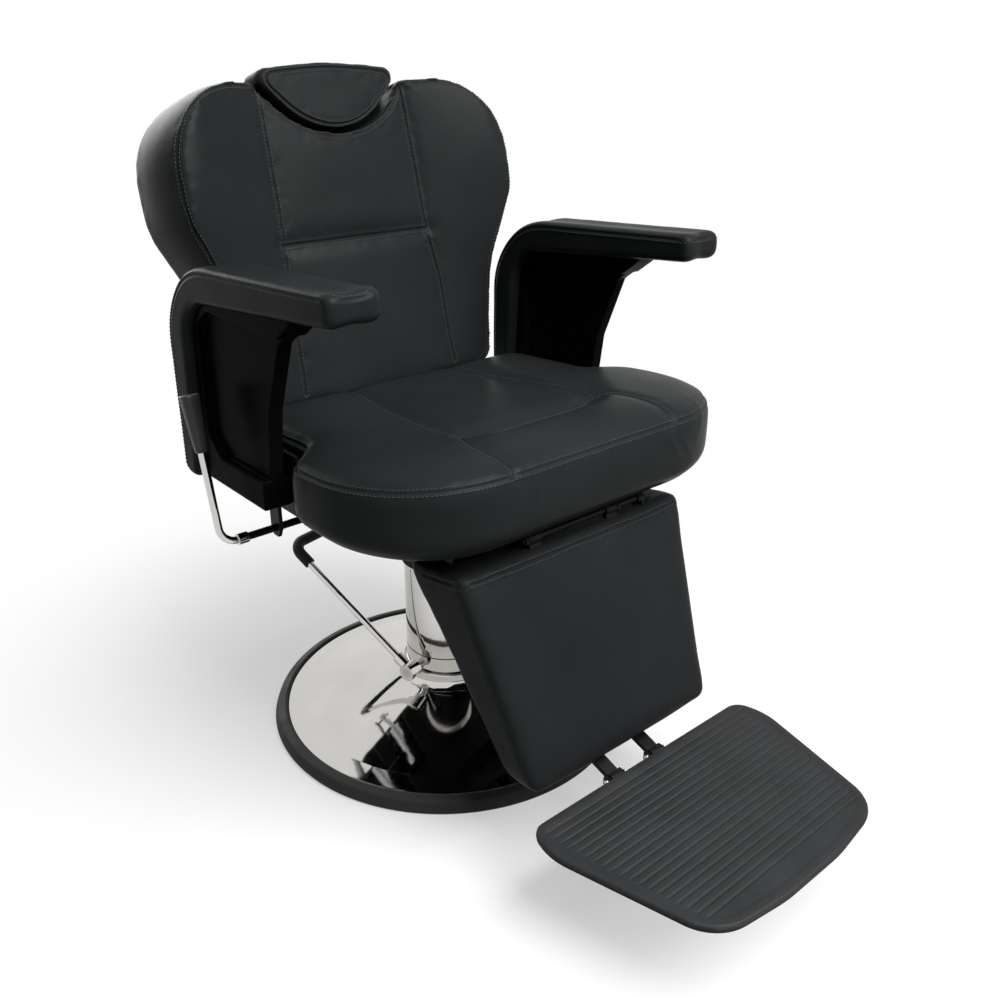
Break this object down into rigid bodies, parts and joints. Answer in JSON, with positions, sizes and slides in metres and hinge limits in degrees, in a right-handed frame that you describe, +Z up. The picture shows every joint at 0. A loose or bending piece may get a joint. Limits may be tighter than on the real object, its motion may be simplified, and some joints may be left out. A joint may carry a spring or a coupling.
{
  "type": "barber chair",
  "caption": "Hydraulic barber chair: padded seat, arms and reclining back with headrest, linked leg rest, ribbed footplate, chrome column on a round base.",
  "frame": {"origin": "centre of the base's underside on the floor, under the column's axis", "axes": "+Z up, -Y the way the sitter faces, +X to the sitter's left-hand side"},
  "size_m": [0.75, 1.1471, 1.0768],
  "materials": {
    "rubber": "matt",
    "chrome": "mirror polished",
    "steel": "turned",
    "black_steel": "satin black paint",
    "brass": "turned",
    "wood": "plywood, stained black",
    "leather": "soft black leatherette, faint grain",
    "panel_plastic": "glossy black",
    "foot_plastic": "moulded, finely textured",
    "grip": "satin black"
  },
  "bodies": {
    "base": {"floor_ring": "rubber", "base_plate": "black_steel", "base_dome": "chrome", "swivel_socket": "steel", "socket_bolts": "steel", "thrust_washer": "brass"},
    "pump": {"pump_housing": "chrome", "pump_cylinder": "steel", "cylinder_gland": "steel"},
    "pump_lever": {"pump_shaft": "steel", "lever_clamp": "chrome", "lever_rod": "chrome", "pedal_sleeve": "rubber"},
    "seat": {"lift_ram": "steel", "column_shroud": "chrome", "mount_plate": "black_steel", "risers": "black_steel", "rail_left": "black_steel", "rail_right": "black_steel", "front_rail": "black_steel", "cross_rails": "black_steel", "seat_board": "wood", "seat_cushion": "leather", "arm_pad_left": "leather", "arm_pad_right": "leather", "side_panel_left": "panel_plastic", "side_panel_right": "panel_plastic", "arm_brackets": "black_steel", "back_brackets": "black_steel", "back_pins": "steel", "leg_ears": "black_steel", "lever_tab": "black_steel", "rail_tab": "black_steel", "lock_cylinder": "steel", "lock_bracket": "black_steel"},
    "back": {"back_cushion": "leather", "back_board": "wood", "back_rear_panel": "leather", "back_hinge_left": "black_steel", "back_hinge_right": "black_steel", "head_guide": "grip"},
    "headrest": {"head_pad": "leather", "head_board": "wood", "head_post": "black_steel"},
    "legrest": {"leg_shaft": "black_steel", "leg_arms": "black_steel", "leg_plate": "black_steel", "foot_bars": "black_steel", "leg_crank": "black_steel", "calf_pad": "leather"},
    "link": {"link_rod": "black_steel"},
    "footplate": {"footplate": "foot_plastic", "foot_lugs": "black_steel", "foot_pins": "steel"},
    "recline_lever": {"recline_rod": "black_steel", "lever_stem": "chrome", "lever_collar": "chrome", "lever_grip": "grip"},
    "lock": {"lock_rod": "steel"}
  },
  "joints": [
    {"name": "swivel", "type": "hinge", "parent": "base", "child": "pump", "pos_m": [0, 0, 0], "axis": [0, 0, 1], "continuous": true},
    {"name": "lift", "type": "slide", "parent": "pump", "child": "seat", "axis": [0, 0, 1], "range_m": [0, 0.15]},
    {"name": "pump_pedal", "type": "hinge", "parent": "pump", "child": "pump_lever", "pos_m": [-0.1011, -0.0243, 0.118], "axis": [-0.9724, -0.2334, 0], "range_deg": [0, 24], "stiffness_Nm_per_rad": 5, "springref_deg": -28.65},
    {"name": "recline", "type": "hinge", "parent": "seat", "child": "back", "pos_m": [0, 0.215, 0.505], "axis": [-1, 0, 0], "range_deg": [0, 50]},
    {"name": "leg_swing", "type": "hinge", "parent": "seat", "child": "legrest", "pos_m": [0, -0.3, 0.47], "axis": [-1, 0, 0], "range_deg": [0, 50]},
    {"name": "link_pivot", "type": "hinge", "parent": "back", "child": "link", "pos_m": [0.1563, 0.332, 0.435], "axis": [1, 0, 0], "range_deg": [0, 50]},
    {"name": "lock_slide", "type": "slide", "parent": "seat", "child": "lock", "axis": [0, -1, 0], "range_m": [0, 0.06782]},
    {"name": "headrest_slide", "type": "slide", "parent": "back", "child": "headrest", "axis": [0, 0.2463, 0.9692], "range_m": [0, 0.09]},
    {"name": "footplate_fold", "type": "hinge", "parent": "legrest", "child": "footplate", "pos_m": [0, -0.453, 0.124], "axis": [-1, 0, 0], "range_deg": [0, 60]},
    {"name": "recline_handle", "type": "hinge", "parent": "seat", "child": "recline_lever", "pos_m": [0, 0.06, 0.42], "axis": [-1, 0, 0], "range_deg": [0, 16], "stiffness_Nm_per_rad": 2, "springref_deg": -22.92}
  ],
  "couplings": [
    {"joint": "leg_swing", "follows": "recline", "ratio": 1},
    {"joint": "link_pivot", "follows": "recline", "ratio": 1},
    {"joint": "lock_slide", "follows": "recline", "m_per_rad": 0.077486}
  ]
}
